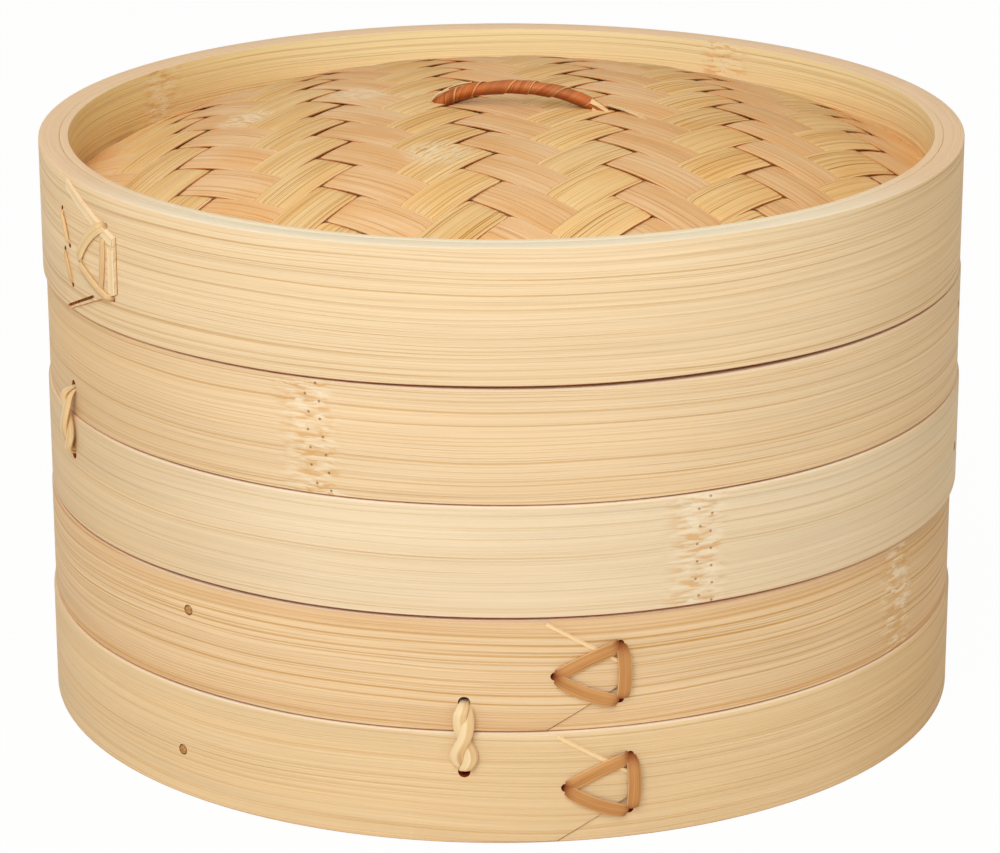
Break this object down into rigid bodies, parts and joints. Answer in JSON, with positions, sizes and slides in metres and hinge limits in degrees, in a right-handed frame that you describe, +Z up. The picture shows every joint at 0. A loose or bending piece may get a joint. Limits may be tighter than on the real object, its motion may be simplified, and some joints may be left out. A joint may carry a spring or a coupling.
{
  "type": "bamboo steamer basket",
  "caption": "Stacking round bamboo steamer: slatted steaming tiers of bent hoops and a woven domed lid with a cane handle.",
  "frame": {"origin": "on the table, under the middle of the stack", "axes": "+Z up, the way the tiers lift off; -Y towards the viewer of the picture, +X to the viewer's right"},
  "size_m": [0.256, 0.2608, 0.1736],
  "materials": {
    "hoop_bamboo": "planed, dry, satin",
    "floor_bamboo": "split, dry, matt",
    "woven_strip": "split, dry, satin",
    "tan_cane": "cane skin, satin",
    "pale_cane": "split cane, matt",
    "brown_cane": "stained cane, satin",
    "peg_bamboo": "whittled, matt"
  },
  "bodies": {
    "lower_basket": {"lower_crossbar": "floor_bamboo", "lower_floor_ring": "hoop_bamboo", "lower_foot_hoop": "hoop_bamboo", "lower_foot_lacing": "tan_cane", "lower_foot_pegs": "peg_bamboo", "lower_liner_hoop": "hoop_bamboo", "lower_rim_hoop": "hoop_bamboo", "lower_rim_lacing": "tan_cane", "lower_rim_pegs": "peg_bamboo", "lower_slat_1": "floor_bamboo", "lower_slat_2": "floor_bamboo", "lower_slat_3": "floor_bamboo", "lower_slat_4": "floor_bamboo", "lower_slat_5": "floor_bamboo", "lower_slat_6": "floor_bamboo", "lower_slat_7": "floor_bamboo", "lower_slat_8": "floor_bamboo", "lower_slat_9": "floor_bamboo", "lower_tie_back": "pale_cane", "lower_tie_front": "pale_cane"},
    "upper_basket": {"upper_crossbar": "floor_bamboo", "upper_floor_ring": "hoop_bamboo", "upper_foot_hoop": "hoop_bamboo", "upper_foot_lacing": "tan_cane", "upper_foot_pegs": "peg_bamboo", "upper_liner_hoop": "hoop_bamboo", "upper_rim_hoop": "hoop_bamboo", "upper_rim_lacing": "tan_cane", "upper_rim_pegs": "peg_bamboo", "upper_slat_1": "floor_bamboo", "upper_slat_2": "floor_bamboo", "upper_slat_3": "floor_bamboo", "upper_slat_4": "floor_bamboo", "upper_slat_5": "floor_bamboo", "upper_slat_6": "floor_bamboo", "upper_slat_7": "floor_bamboo", "upper_slat_8": "floor_bamboo", "upper_slat_9": "floor_bamboo", "upper_tie_back": "pale_cane", "upper_tie_front": "pale_cane"},
    "lid": {"lid_falling_strips": "woven_strip", "lid_handle_core": "pale_cane", "lid_handle_wrap": "brown_cane", "lid_hoop": "hoop_bamboo", "lid_lacing": "pale_cane", "lid_lower_liner": "hoop_bamboo", "lid_lower_rib": "floor_bamboo", "lid_rising_strips": "woven_strip", "lid_upper_liner": "hoop_bamboo", "lid_upper_rib": "floor_bamboo"}
  },
  "joints": [
    {"name": "upper_basket_lift", "type": "slide", "parent": "lower_basket", "child": "upper_basket", "axis": [0, 0, 1], "range_m": [0, 0.12]},
    {"name": "lid_lift", "type": "slide", "parent": "upper_basket", "child": "lid", "axis": [0, 0, 1], "range_m": [0, 0.12]}
  ]
}
